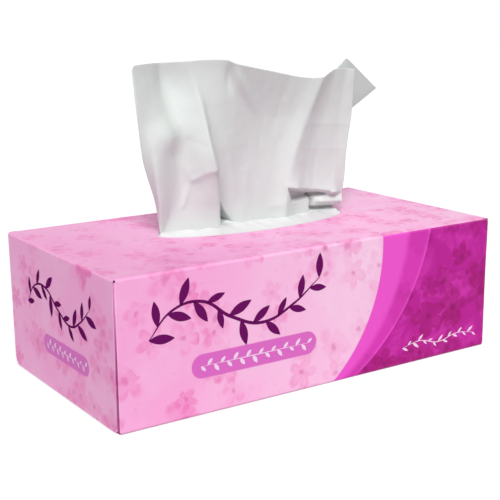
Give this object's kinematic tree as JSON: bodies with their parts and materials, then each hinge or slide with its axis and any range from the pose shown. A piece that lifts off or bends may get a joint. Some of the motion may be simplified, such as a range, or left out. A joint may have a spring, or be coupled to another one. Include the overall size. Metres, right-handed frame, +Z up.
{
  "type": "tissue box",
  "caption": "Flat oblong folded-board carton of facial tissues, with an oval top slot, a slit film and the first tissue standing in it.",
  "frame": {"origin": "middle of the carton's flat underside, on the surface it stands on", "axes": "+Z up, +X along the carton's length, -Y out of its long front panel"},
  "size_m": [0.23, 0.122, 0.1613],
  "materials": {
    "printed_board": "printed, soft satin varnish",
    "slit_film": "thin milky film, glossy",
    "tissue_block": "soft uncoated tissue",
    "tissue_ply": "soft uncoated tissue"
  },
  "bodies": {
    "root": {"carton": "printed_board", "film": "slit_film", "tissue_stack": "tissue_block", "top_tissue": "tissue_ply"}
  },
  "joints": []
}
